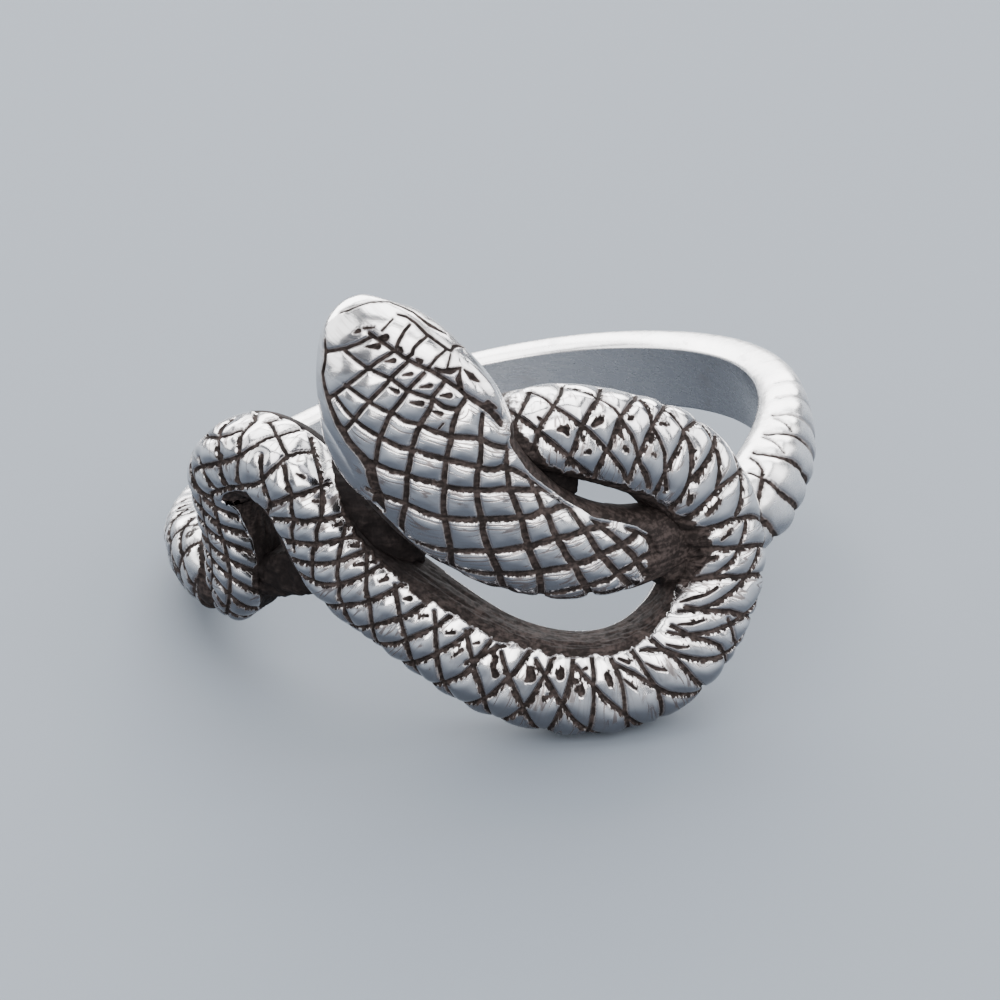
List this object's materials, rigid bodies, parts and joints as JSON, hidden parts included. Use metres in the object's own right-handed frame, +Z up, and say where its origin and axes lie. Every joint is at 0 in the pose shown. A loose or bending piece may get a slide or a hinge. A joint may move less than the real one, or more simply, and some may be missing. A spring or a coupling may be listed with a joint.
{
  "type": "snake wrap ring",
  "caption": "Cast silver finger ring: a scaly snake coils across the front with its head over the coils, and a plain band closes round the back.",
  "frame": {"origin": "on the surface that the ring lies on, under the middle of its outline", "axes": "+Z up; +Y from the snake's head to the plain back of the band; +X to the right, where the band's right shank comes out from under the loop"},
  "size_m": [0.0212, 0.023, 0.0148],
  "materials": {
    "silver": "cast silver, polished scales with black oxidised grooves"
  },
  "bodies": {
    "root": {"snake_ring": "silver"}
  },
  "joints": []
}
